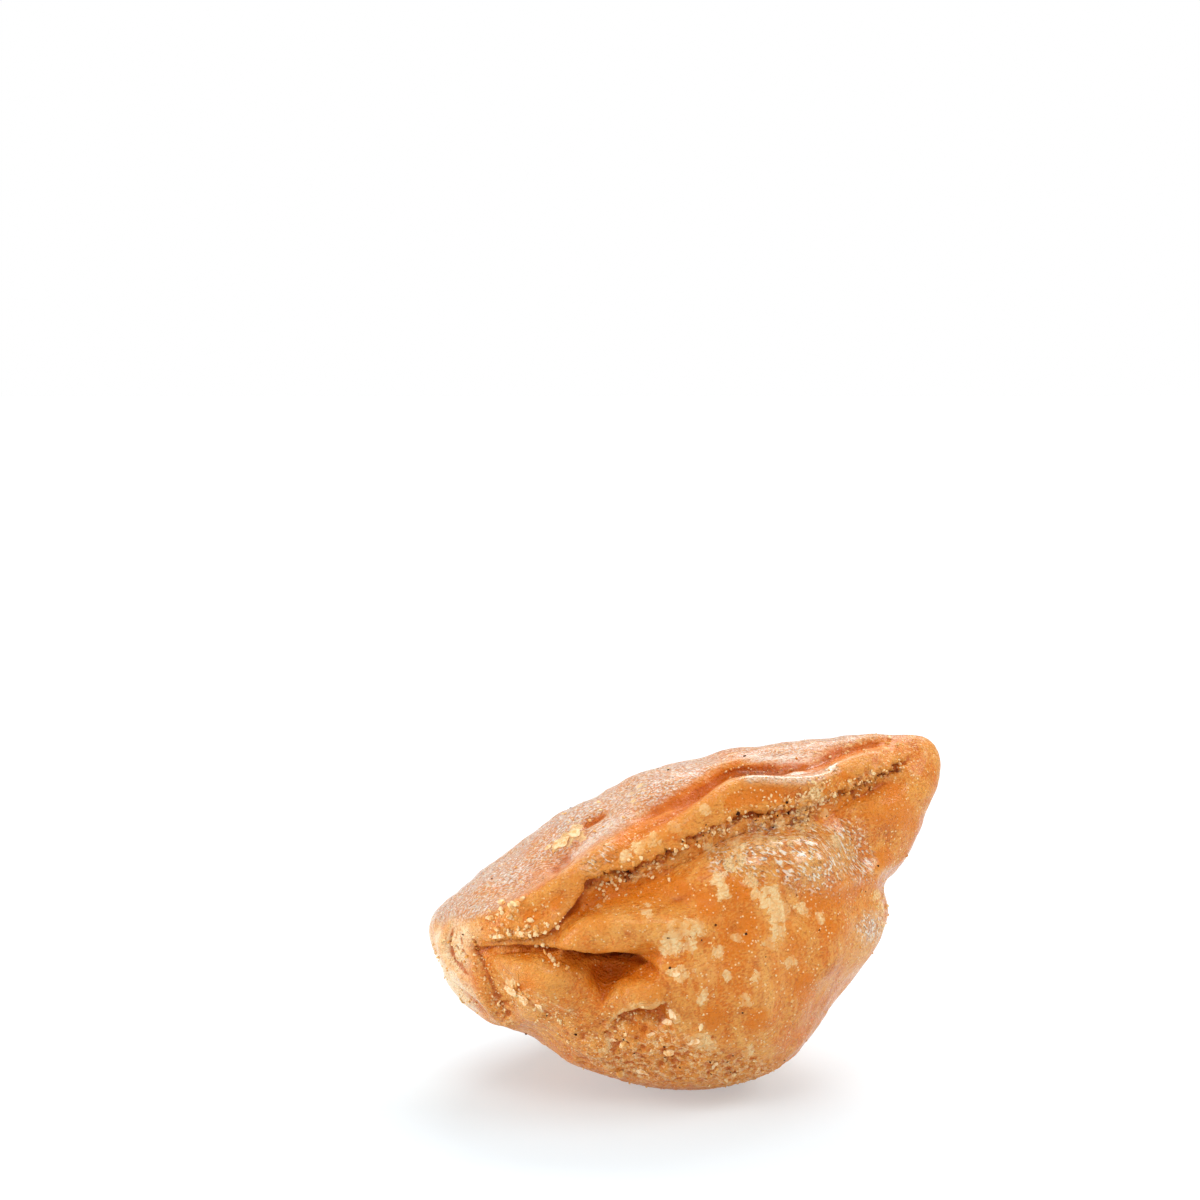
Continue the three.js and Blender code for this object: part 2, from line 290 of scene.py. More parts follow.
# Broad rolls, where the height is above 0, and valleys. Each point of a path is (u, w, height, width).
ROLLS = [
    # the groove above the rolled rim, and the crests of the roll and of the band left of it
    [(-15, 36.4, 0, 2), (-10.4, 39.4, -0.9, 2), (-5.5, 42.6, -1.3, 2), (-0.5, 46.2, -1.4, 1.7),
     (3.4, 49.2, -1.4, 1.3), (6.6, 50.9, -1.4, 1.1), (10, 51.2, -1.3, 1.0), (14.5, 50.9, -1.2, 1.0),
     (18, 51.2, -1.1, 1.0), (22, 52.8, -1.1, 1.0), (28, 55.1, -0.9, 1.0), (34, 56, 0, 1)],
    [(-10, 37.4, 0, 1.6), (-4, 41, 0.8, 1.6), (2, 44.8, 1, 1.6), (7, 48, 0.9, 1.5), (12, 48.8, 0.8, 1.5),
     (18, 48.9, 0.8, 1.5), (24, 50.6, 0.8, 1.5), (31, 54, 0, 1.3)],
    [(5.6, 49.4, 0, 0.7), (8.6, 50.3, -0.8, 0.8), (14.5, 50, -0.9, 0.8), (19, 50.4, -0.8, 0.8),
     (23, 51.8, 0, 0.7)],
    [(5, 47.6, 0, 1), (9, 48.9, 0.5, 1), (14.5, 48.7, 0.5, 1), (19, 49, 0.4, 1), (23, 50.4, 0, 1)],
    [(-10, 39.4, 0, 1.4), (-15, 37, 0.9, 1.4), (-21, 32.8, 1.1, 1.4), (-27, 29.2, 1.1, 1.4),
     (-33, 26.4, 0, 1.4)],
    # the panel behind the band
    [(-10, 42.6, 0, 1.6), (-15, 40.4, -0.4, 1.8), (-21, 36.4, -0.5, 2.2), (-27, 31.8, -0.4, 1.8),
     (-31, 29, 0, 1.5)],
    [(-19.6, 41.2, 0, 1), (-17, 42.4, -0.9, 0.8), (-14.6, 43.7, -0.8, 0.7), (-12.6, 44.8, 0, 0.7)],
    [(-23, 34.2, 0, 1), (-21.6, 35.4, -0.9, 0.8), (-19.9, 36.6, -0.8, 0.8), (-18.6, 37.6, 0, 0.7)],
    # the pleat and the valley above it
    [(-21, 26.8, 0, 1.4), (-18, 29, -1.0, 1.6), (-13, 30.8, -1.2, 1.8), (-8, 31.2, -0.9, 2),
     (-2, 31, -0.5, 2.2), (6, 30.4, 0, 2.2)],
    [(-23, 25.2, 0, 1.6), (-18, 26, 0.7, 1.7), (-12, 26.8, 1, 1.9), (-6, 27.2, 0.7, 2.2),
     (0, 26.8, 0.3, 2.4), (6, 26, 0, 2.4)],
    # the mouth's hollow, its dip, and the cheek to the right of it
    [(-21, 21.6, 0, 1.4), (-17.5, 21.2, -0.7, 1.8), (-14, 20.4, -1.5, 2.4), (-11, 20.2, -1.6, 2.3),
     (-8.4, 19.6, -1.0, 1.8), (-6, 18.2, -0.4, 1.3), (-4.6, 16.6, 0, 1)],
    [(-13.4, 20.6, 0, 3), (-13.6, 19, -0.8, 2.4), (-13.9, 17.4, -1.1, 1.6), (-14, 15.9, -0.8, 1.0),
     (-14.3, 14.4, -0.3, 0.6), (-14.6, 13.4, 0, 0.5)],
    [(-12.6, 13.6, 0, 1.8), (-10.6, 15.2, 0.5, 1.8), (-8.2, 16, 0.6, 1.8), (-6.2, 15.6, 0.5, 1.5),
     (-5.2, 14.4, 0, 1)],
    [(-3.9, 14.2, 0, 0.5), (-2.9, 13, 0.4, 0.6), (-2.9, 11.6, 0.4, 0.6), (-4.4, 10.9, 0.2, 0.6),
     (-6, 10.8, 0, 0.5)],
    # the lower lip
    [(-33, 20.4, 0, 1.6), (-29.6, 20.6, 0.8, 1.8), (-25, 20, 0.9, 2), (-21, 18.4, 0.7, 2),
     (-18, 16.4, 0.4, 1.8), (-16, 14, 0, 1.5)],
    [(-29, 17.6, 0, 2.2), (-24, 16, 0.6, 2.4), (-19, 14.4, 0.7, 2.4), (-15, 12.6, 0.4, 2),
     (-12, 11.4, 0, 1.6)],
    # the shoulder of the belly and shallow flutes down it
    [(4, 36.4, 0, 3), (12, 35.4, 0.5, 3.4), (20, 33.4, 0.5, 3.2), (27, 30, 0, 3)],
    [(7.4, 33, 0, 2), (6, 27, -0.45, 2.2), (5.6, 20, -0.4, 2.2), (6, 12, 0, 2)],
    [(15.4, 32, 0, 2.2), (15.8, 25, -0.4, 2.4), (14.6, 17, -0.35, 2.4), (12.6, 10, 0, 2)],
    [(22, 33, 0, 2.2), (22.8, 26, 0.45, 2.4), (20.4, 18, 0.4, 2.4), (17.6, 11, 0, 2)],
    [(-1, 24, 0, 1.6), (-1.6, 19, 0.35, 1.8), (-1.4, 14, 0, 1.8)],
]

# Between the belly's shoulder and the seam the dough runs on without a valley: (u, w, strength).
UNDER_SEAM = [(-18, 28.6, 0), (-14, 29.8, 0.5), (-9, 31.6, 0.7), (-5, 33.4, 0.8), (-1, 36, 1), (4, 39, 1),
              (8, 40.8, 1), (13, 41.4, 1), (18, 42, 1), (22, 43.2, 0.8), (26, 45, 0)]

# Fine ridges and furrows, as (u, w, height, width). The furrows get painted shade.
FURROWS = [
    # from the corner of the mouth down the left end, and the curved slot beyond
    [(-34.9, 25, 0, 0.4), (-34.2, 23.4, -0.6, 0.4), (-33.2, 21.2, -0.6, 0.4), (-32.2, 18.6, -0.5, 0.4),
     (-30.6, 15, -0.5, 0.4), (-29.2, 11.4, 0, 0.4)],
    [(-37.6, 26.4, 0, 0.35), (-38.2, 25, -0.8, 0.35), (-38.4, 23.3, -0.9, 0.35), (-38, 21.4, -0.8, 0.35),
     (-37, 20, -0.7, 0.35), (-35.8, 18.8, -0.5, 0.35), (-34.6, 17.8, 0, 0.35)],
    [(-36.4, 25.6, 0, 0.35), (-36.6, 23.6, -0.4, 0.35), (-36, 21.6, -0.4, 0.35), (-34.9, 20.2, 0, 0.35)],
    [(-39.3, 25.6, 0, 0.6), (-39.6, 23.4, 0.5, 0.7), (-39, 20.8, 0.5, 0.7), (-37.4, 18.6, 0, 0.6)],
    # layers of the dough that show at the lower left
    [(-39.6, 20.5, 0, 0.4), (-38.4, 17.6, -0.35, 0.4), (-36.2, 14.6, -0.35, 0.4), (-33.4, 11.8, 0, 0.4)],
    [(-38.2, 19.6, 0, 0.4), (-36.8, 16.6, -0.35, 0.4), (-34.4, 13.6, -0.35, 0.4), (-31.6, 11.2, 0, 0.4)],
    [(-36.2, 18, 0, 0.35), (-34.6, 15, -0.4, 0.35), (-32.6, 12.2, -0.3, 0.35), (-31, 10.6, 0, 0.35)],
    # under the lower lip
    [(-31.6, 21.4, 0, 0.6), (-29.4, 19.3, -0.45, 0.6), (-27.5, 17, -0.45, 0.7), (-25.4, 15.5, -0.3, 0.7),
     (-22, 13.8, -0.2, 0.7), (-18, 11.9, 0, 0.7)],
    [(-24.6, 13.4, 0, 0.3), (-23.4, 12.8, -0.6, 0.35), (-22.5, 12.1, -0.6, 0.35), (-21.6, 11.7, 0, 0.3)],
    [(-21.8, 17, 0, 0.5), (-20.6, 16.7, -0.3, 0.5), (-19.2, 16.5, -0.3, 0.4), (-18, 17, 0, 0.4)],
    [(-29.6, 22, 0, 0.5), (-26.6, 21.6, -0.25, 0.5), (-23.4, 21.2, 0, 0.5)],
    # wrinkles along the groove and on the panel above it
    [(-6, 41.4, 0, 0.6), (-1, 45, -0.4, 0.7), (3.6, 48.9, -0.5, 0.7), (7, 50.8, -0.5, 0.5),
     (11, 51, -0.5, 0.5), (15, 50.7, 0, 0.5)],
    [(14, 50.8, 0, 0.5), (19, 51.6, -0.5, 0.6), (24, 54, -0.5, 0.6), (29, 55.3, -0.4, 0.6),
     (33, 55.9, 0, 0.5)],
    [(-3, 50.6, 0, 0.5), (3, 52.4, -0.3, 0.5), (9, 53.5, -0.3, 0.5), (14, 53.8, 0, 0.5)],
    [(3, 50.8, 0, 0.4), (8, 52.2, -0.25, 0.4), (13, 53, -0.25, 0.4), (18, 54.2, 0, 0.4)],
    [(-7, 47, 0, 0.5), (-3, 48.4, -0.3, 0.5), (1, 50, 0, 0.5)],
    [(-12, 44, 0, 0.5), (-9, 45, 0.3, 0.5), (-6, 46.6, 0, 0.5)],
]

# Flaky pale plates, as (u, w, radius).
PLATES = [
    (-2.3, 25.6, 2.0), (0.1, 25.8, 1.4), (-3.5, 23.5, 1.9), (-1.2, 23.8, 1.5), (-2.4, 18.9, 1.2),
    (-3.4, 19.1, 0.9), (3.6, 22.3, 1.1), (5, 18.8, 0.9), (1.3, 15.3, 1.2), (11.4, 30.8, 1.7),
    (13, 28.4, 1.5), (9.4, 31, 0.9), (12.2, 26.2, 0.8), (11.6, 23.6, 1.1), (13.3, 25.4, 1.2),
    (3.6, 33.2, 1.2), (4.4, 31.4, 1.2), (5.8, 35.8, 1.3), (7.2, 36.4, 1.1), (6.4, 39, 1.3),
    (9.6, 39.6, 1.2), (12.4, 39, 1.1), (7.9, 15, 0.9), (1, 8.8, 1.5), (2.6, 7.8, 1.0), (-7.3, 28.3, 0.8),
    (29.7, 31.1, 0.9), (30.6, 28.7, 1.0), (30.9, 26.3, 1.0), (30.2, 23.3, 0.9), (-19.6, 39.6, 1.2),
    (-18.2, 40.6, 1.2), (-21.6, 38.8, 0.8), (-28, 29.4, 0.9), (-3, 12.4, 0.9), (14, 42.2, 1.0),
    (17.4, 42.6, 1.3), (20.2, 46.2, 0.8), (-28.6, 17.2, 1.0), (-26.4, 15.4, 0.9), (-23.6, 13.8, 0.7),
    (-8.6, 38.6, 1.2), (-6.4, 39.4, 1.1), (-10.6, 37, 0.9), (-3, 41.4, 0.9), (2, 44, 0.9), (20.6, 52, 0.7),
    (16.8, 44.2, 0.9), (18.4, 45.8, 1.2), (19.8, 47.8, 0.9), (20.8, 43.8, 0.8), (16.6, 41, 1.1),
    (22.4, 39.4, 0.9), (8.6, 33, 1.1), (6.4, 24.6, 0.8), (9.4, 18.6, 0.8), (16.6, 29, 1.0),
    (14.8, 20.6, 0.9), (19.6, 27.6, 0.8), (6.4, 40.4, 1.0), (2.4, 38.4, 0.9), (-9.2, 33.6, 0.7),
    (15.4, 39.6, 1.0), (8.6, 6.8, 0.9), (-14, 6.6, 0.8),
]

# Where it has fried to a deeper orange: (u, w, radius).
DEEP_FRIED = [
    (6.6, 45.6, 1.4), (9.4, 46.8, 1.6), (12.6, 46.9, 1.6), (24, 46.2, 1.3), (26.8, 46.8, 1.2),
    (24.6, 49.8, 0.8), (-16, 30.2, 1.6), (-13, 31.2, 1.8), (-9.4, 32, 1.7), (-5.6, 32.8, 1.5),
    (-2.4, 32.4, 1.3), (8.4, 27, 1.6), (8, 23.6, 1.3), (19, 30.4, 1.8), (22.6, 31.4, 2), (25.6, 33.4, 1.8),
    (20.6, 26, 1.5), (-22, 21.6, 1.2), (-18.6, 20.6, 1.4), (-26, 21.4, 1), (-16, 18, 1), (-8.6, 10.4, 1.6),
    (-6, 16, 1.1), (-7, 21, 1.4), (3, 12, 1.6), (10, 11.6, 1.6), (17.4, 16.6, 1.8), (-25, 27.8, 1.2),
    (-28.6, 27, 0.9), (-21, 30, 1.2), (7.1, 31.9, 1.8), (-13, 37.2, 1.5), (-10.4, 39.2, 1.6),
    (-8, 40.9, 1.6), (-5.5, 42.4, 1.6), (-3, 44.2, 1.6), (-0.5, 46, 1.5), (1.6, 47.6, 1.4), (3.6, 49, 1.3),
    (6.6, 50.8, 1.0), (10, 51.1, 0.9), (14.5, 50.9, 0.9), (18, 51.3, 0.9), (22, 52.8, 1.0), (26, 54.4, 1.0),
    (2.4, 46.2, 1.6), (-4.4, 40.8, 1.2), (1.9, 29.5, 1.8), (-14.5, 26.8, 1.6), (-25.8, 16.6, 1.6),
    (30.6, 36.8, 1.6), (1.4, 46.5, 1.4), (-16.6, 30.2, 1.6), (31.6, 46, 2.4), (34, 43.4, 2.2),
    (29.6, 44.6, 2),
]

# Where it has stayed light, the colour of straw: (u, w, radius).
LIGHT_SKIN = [
    (4.2, 38.7, 2.6), (1, 36.4, 2.2), (7.4, 40, 2.4), (11.4, 40.4, 2.2), (12.9, 28.7, 3.2), (12.9, 22.3, 3),
    (12.3, 16.5, 2.6), (27.7, 28.7, 2.8), (25.8, 22.9, 2.8), (9.7, 6.8, 3.6), (3.4, 5.6, 3), (0, 9.4, 2.4),
    (-21.3, 10, 3), (-26, 13, 2.6), (-12, 27, 1.8), (1.4, 20, 2.2), (-8, 6.4, 3), (-14, 7.6, 2.4),
    (-29.6, 16.8, 2), (-5, 25.2, 2), (17.6, 36.8, 2.6), (22.4, 38, 2.4),
]

# Where the skin is drawn into fine pale streaks that shine, with white glints painted on them: (u, w,
# radius).
STREAKS_AND_GLINTS = [
    (9, 36.8, 3), (13, 37.4, 3), (16.6, 36, 3.2), (20, 35, 3), (22, 38.6, 2.6), (24.6, 40, 2.4),
    (18, 39.4, 2.4), (4.6, 36.6, 2), (26, 36, 2.4), (8.4, 50, 1.1), (11, 50, 1.2), (13.7, 50, 1.2),
    (16.5, 50, 1.2), (19.3, 50.2, 1.2), (22, 51.2, 1.1), (-13.6, 37.4, 1.2), (-16, 35.8, 1.2), (28, 26, 2),
    (9.8, 40.8, 1.4), (12.4, 40.2, 1.4), (16.8, 42.4, 1.4), (18.4, 41, 1.4), (9, 49.5, 0.8),
    (12, 49.4, 0.8), (15, 49.4, 0.8), (18, 49.6, 0.8),
]

# Painted highlights: white lines under and over the groove and along the panel's edge: (u, w, strength).
HIGHLIGHT_PATHS = [
    [(7.6, 48.9, 0), (9.6, 49.5, 0.9), (12.6, 49.3, 1), (16, 49.2, 1), (19, 49.3, 0.9), (22, 50.4, 0)],
    [(8, 52.6, 0), (11, 52.8, 0.7), (15, 52.6, 0.7), (19, 52.9, 0.5), (22, 54.2, 0)],
    [(-22, 33.6, 0), (-19, 36.6, 0.6), (-16, 39.4, 0.7), (-12.6, 42.4, 0.5), (-9, 44.6, 0)],
]

# Where the dough is torn and crumbly: (u, w, reach along u, reach along w, turned by degrees).
CRUMBLY = [
    (-6, 6, 15, 5.5, -8), (6, 3.4, 9, 3.4, 0), (14, 43, 6.5, 1.8, 10), (17.6, 44, 2.6, 3.2, 0),
    (4, 41.2, 6, 1.1, 25), (-8, 34.6, 6, 1.1, 20), (-8, 11.8, 4.5, 1.2, 5), (-37, 23, 0.9, 2.8, 10),
    (-30, 12.8, 1.6, 3, 30), (-27, 15.4, 3.4, 0.9, -38), (27, 49.4, 5, 0.7, 28), (-28, 25, 5, 0.8, 4),
]


FULL_SHADE_DEPTH = 1.5  # a valley this deep gets the full painted shade, in deep amber


def raise_along(skin, path):
    """Raises or sinks the skin along a path; gives its line and how far each near point went out."""
    line = Line(path, skin)
    height, width = line.further
    out = height * bell(line.distance, width)
    skin.points[line.near] += skin.normals[line.near] * out[:, None]
    return line, out


def sculpt_roll(skin, path):
    """A soft roll or valley. A valley is coloured amber by its depth, as painted shade."""
    line, _ = raise_along(skin, path)
    height, width = line.further
    skin.mark_near("amber_and_shade", line, np.clip(-height / FULL_SHADE_DEPTH, 0, 1) * bell(line.distance, width * 1.1))
    skin.refresh()


def sculpt_furrow(skin, path):
    """A fine ridge or furrow. The deeper a furrow, the more painted shade it gets."""
    line, out = raise_along(skin, path)
    skin.mark_near("crease", line, np.clip(-out / 2, 0, 0.5))


FILL_ROUNDS = 160
FILL_BESIDE = (1.6, 4.0)  # the filling is full this near to the line, and ends this far from it


def fill_under_seam(skin):
    line = Line(UNDER_SEAM, skin)
    full, none = FILL_BESIDE
    amount = np.zeros(skin.count)
    amount[line.near] = np.clip(line.further[0], 0, 1) * ease(-np.abs(line.distance), -none, -full)
    skin.fill(amount, FILL_ROUNDS)


def sculpt_fold(skin, path, crease, width, lip, lip_width, overhang, ragged, crease_shade, pale=0.0):
    """Dough that lies over a crease: the crease sinks, the lip beside it rises and is pushed out over it."""
    line = Line(path, skin)
    strength = np.clip(line.further[0], 0, 2)
    places = skin.points[line.near]
    wander = ragged * rough(places, 1.5, seed=1) + 0.4 * ragged * rough(places, 0.6, seed=2)
    distance = line.distance + wander * strength
    depth = crease * (1 + 0.6 * min(1, 2 * ragged) * rough(places, 2.2, seed=3))
    sunk = depth * bell(distance + width * 0.8, width)
    out = lip * ease(distance, -0.25, 0.35) * bell(np.maximum(distance, 0), lip_width) - sunk
    over = overhang * bell(distance - 0.45, 0.8) * strength
    skin.points[line.near] += skin.normals[line.near] * (out * strength)[:, None]
    skin.points[line.near, :2] -= line.side * over[:, None]
    # painted shade: dark in the crease, and deeper amber in a band round it
    skin.mark_near("crease", line, crease_shade * bell(distance + width * 0.8, width * 1.1) * strength)
    skin.mark_near("amber_and_shade", line, 0.55 * crease_shade * bell(distance + width * 0.8, width * 2.6) * strength)
    skin.mark_near("pale", line, pale * np.clip(1.8 * bell(distance - 0.3, 0.5) * strength, 0, 1))
    skin.refresh()


def knead(skin):
    """The broad unevenness of hand-rolled dough, kept off the spot that the samosa rests on."""
    clear = ease(skin.heights(), 1.0, 7.0)
    out = 0.45 * rough(skin.points, 13, seed=5) + 0.22 * rough(skin.points, 5, seed=6)
    skin.raise_by(out * clear)
    skin.refresh()


SPOT_EDGE = 1.6  # a spot has faded away at this many times its radius


def blobs(skin, spots):
    """How far inside the nearest of the round spots each point of the face is: 1 in its middle."""
    front = (skin.points[:, 2] > skin.RIM_DEPTH) * ease(skin.normals[:, 2], 0.15, 0.45)
    inside = np.zeros(skin.count)
    for u, w, radius in spots:
        gap = np.hypot(skin.points[:, 0] - u, skin.points[:, 1] - w)
        inside = np.maximum(inside, front * (SPOT_EDGE - gap / radius))
    return np.clip(inside, 0, 1)


CRUMBLY_RELIEF = 0.8  # mm


def crumble(skin):
    """Marks the crumbly places and breaks up their skin into lumps and pits."""
    front = skin.points[:, 2] > skin.RIM_DEPTH
    for u, w, along, across, degrees in CRUMBLY:
        cos, sin = math.cos(math.radians(degrees)), math.sin(math.radians(degrees))
        right, up = skin.points[:, 0] - u, skin.points[:, 1] - w
        x, y = right * cos + up * sin, up * cos - right * sin
        skin.mark("crumbly", front * bell(np.hypot(x / along, y / across), 1.0))
    chosen = np.nonzero(skin.marks["crumbly"] > 0.05)[0]
    places = skin.points[chosen]
    lumps = np.abs(rough(places, 2.4, seed=11)) + 0.5 * np.abs(rough(places, 1.1, seed=12))
    out = np.zeros(skin.count)
    out[chosen] = CRUMBLY_RELIEF * (0.5 - lumps) * skin.marks["crumbly"][chosen]
    skin.raise_by(out)
    pits = np.zeros(skin.count)
    pits[chosen] = ease(lumps, 0.9, 1.3) * skin.marks["crumbly"][chosen]
    # painted shade in the pits
    skin.mark("crease", 0.2 * pits)
    skin.refresh()


PLATE_LIFT = 0.12  # mm


def lift_plates(skin):
    """Thin plates of the crust stand up a little from the skin."""
    inside = blobs(skin, PLATES)
    chosen = np.nonzero(inside > 0)[0]
    inside[chosen] += 0.35 * rough(skin.points[chosen], 1.3, seed=21, octaves=3)
    skin.mark("pale", np.clip(inside, 0, 1))
    skin.raise_by(PLATE_LIFT * ease(inside, 0.35, 0.65))
    skin.refresh()


def stain(skin, name, spots, most, size, ragged, seed, fade):
    """Marks round spots whose edges are ragged, up to the most that the mark reaches."""
    inside = blobs(skin, spots)
    uneven = np.clip(inside + ragged * rough(skin.points, size, seed=seed), 0, 1)
    skin.mark(name, most * uneven * ease(inside, 0, fade))


def mark_streaks(skin):
    """Marks where the skin is streaky, with painted glints, and where a painted highlight lies along a slope
    that faces forward.
    """
    skin.mark("streaks_and_glints", blobs(skin, STREAKS_AND_GLINTS))
    for path in HIGHLIGHT_PATHS:
        line = Line(path, skin)
        facing = ease(skin.normals[line.near, 2], 0, 0.35)
        across = np.clip(1.4 * bell(line.distance, 0.7), 0, 1)
        skin.mark_near("painted_highlight", line, np.clip(line.further[0], 0, 1) * across * facing)


BLISTER_RADII = (0.7, 2.2)
BLISTER_TOP = 0.5  # no higher than this, where several run together


def blister(skin, spots, count, tall, seed):
    """Small low blisters round some of the skin's points, but not where the samosa rests."""
    draw = random.Random(seed)
    clear = ease(skin.heights(), 1.0, 4.0)
    out = np.zeros(skin.count)
    for _ in range(count):
        middle = skin.points[draw.choice(spots)]
        radius = draw.uniform(*BLISTER_RADII)
        gap = np.linalg.norm(skin.points - middle, axis=1)
        out += draw.uniform(0.4, 1) * tall * radius * bell(gap, radius)
    skin.raise_by(np.minimum(out, BLISTER_TOP) * clear)
    skin.refresh()


# The crest of the band and, right of it, the groove: on the slope behind them a pale sheen is painted.
SHEEN_LINE = [(-36, 25.6), (-33, 27), (-27, 29.9), (-21, 33.8), (-15, 38.2), (-8, 42.4), (-2, 46.6), (3, 50),
              (7, 51.9), (11, 52), (16, 51.8), (22, 53.6), (28, 55.2), (36, 56.2)]
SHEEN_ROUNDS = 30  # of averaging, so that the painted sheen has no hard edge
PROUD_ROUNDS = 14  # of smoothing, for the form that the fine relief stands on
PROUD_SPAN = 0.5  # mm of relief from the lowest mark to the highest


def mark_form(skin):
    """Marks the painted sheen on slopes that face up, the dry left end, and how far each point stands proud
    of what is round it.
    """
    up = skin.normals @ (turn.T @ np.array([0, 0, 1]))
    u, w, d = skin.points.T
    behind = np.maximum(ease(w - np.interp(u, *zip(*SHEEN_LINE)), 0, 1.8), ease(-d, 5, 9))
    patchy = ease(rough(skin.points, 8, seed=41), -0.1, 0.5)
    uneven = ease(rough(skin.points, 5, seed=42), -0.7, 0.2) * 0.5 + 0.5
    shallow = ease(d + 4 * rough(skin.points, 9, seed=44), -30, -4)
    painted_sheen = (ease(up, -0.1, 0.6) * uneven * np.maximum(shallow, 0.4 * patchy))[:, None]
    for _ in range(SHEEN_ROUNDS):
        painted_sheen = skin.averaged(painted_sheen)
    skin.mark("painted_sheen", behind * painted_sheen[:, 0])
    ragged = 1.5 * rough(skin.points, 4, seed=43)
    left, low, near = ease(-u + ragged, 32.5, 36.5), ease(-w + ragged, -28, -24), ease(d + ragged, -10, -3)
    skin.mark("dry_end", left * low * near * uneven)
    proud = ((skin.points - skin.smoothed(PROUD_ROUNDS)) * skin.normals).sum(axis=1)
    skin.mark("proud", np.clip(0.5 + proud / PROUD_SPAN, 0, 1))


def grounded(skin):
    """Lifts whatever reaches below the floor up to it."""
    places = to_frame(skin.points)
    places[:, 2] = np.maximum(places[:, 2], 0)
    skin.points = to_mould(places)


def make_crust():
    piece = merged_copy("samosa", "crust")
    apply_modifier(piece, "SUBSURF", levels=1, render_levels=1)
    apply_modifier(piece, "REMESH", mode="VOXEL", voxel_size=SKIN_CELL, use_smooth_shade=True)
    skin = Skin(piece)
    skin.soothe(SOOTHE_ROUNDS)
    knead(skin)
    for path in ROLLS:
        sculpt_roll(skin, path)
    fill_under_seam(skin)
    for settings in FOLDS.values():
        sculpt_fold(skin, **settings)
    for path in FURROWS:
        sculpt_furrow(skin, path)
    skin.refresh()
    blister(skin, range(skin.count), count=90, tall=0.2, seed=4)
    blister(skin, np.nonzero(skin.points[:, 2] < skin.RIM_DEPTH)[0], count=130, tall=0.4, seed=7)
    stain(skin, "amber_and_shade", DEEP_FRIED, most=0.6, size=2.5, ragged=0.3, seed=22, fade=0.3)
    crumble(skin)
    lift_plates(skin)
    mark_streaks(skin)
    stain(skin, "light", LIGHT_SKIN, most=0.75, size=3, ragged=0.35, seed=23, fade=0.5)
    grounded(skin)
    skin.refresh()
    mark_form(skin)
    skin.write_marks()
    make_active(piece)
    bpy.ops.object.shade_smooth()
    return piece, skin


# ---- Finishes. ----


def tint(red, green, blue):
    """A screen colour, 0 to 255, as the linear colour that a shader takes."""
    parts = np.array([red, green, blue]) / 255
    linear = np.where(parts <= 0.04045, parts / 12.92, ((parts + 0.055) / 1.055) ** 2.4)
    return (*linear, 1)


GOLDEN = tint(218, 122, 30)
LIGHT_GOLDEN = tint(230, 154, 66)
STRAW = tint(242, 180, 98)
AMBER = tint(222, 121, 20)
DEEP_AMBER = tint(198, 94, 8)
BROWN_BLOTCH = tint(192, 104, 32)
SHADOW_BROWN = tint(156, 62, 12)
PALE_PLATE = tint(247, 213, 156)
CRUMB_LIGHT = tint(250, 218, 164)
CRUMB_TAN = tint(226, 160, 80)
# colours of painted light: a pale pink and white sheen on the slopes that face up
SHEEN_PINK = tint(218, 183, 156)
SHEEN_WHITE = tint(246, 232, 220)
# white of painted highlights and glints
HIGHLIGHT_WHITE = tint(255, 244, 228)
CREAM = tint(250, 218, 172)
SPICE = tint(58, 30, 16)


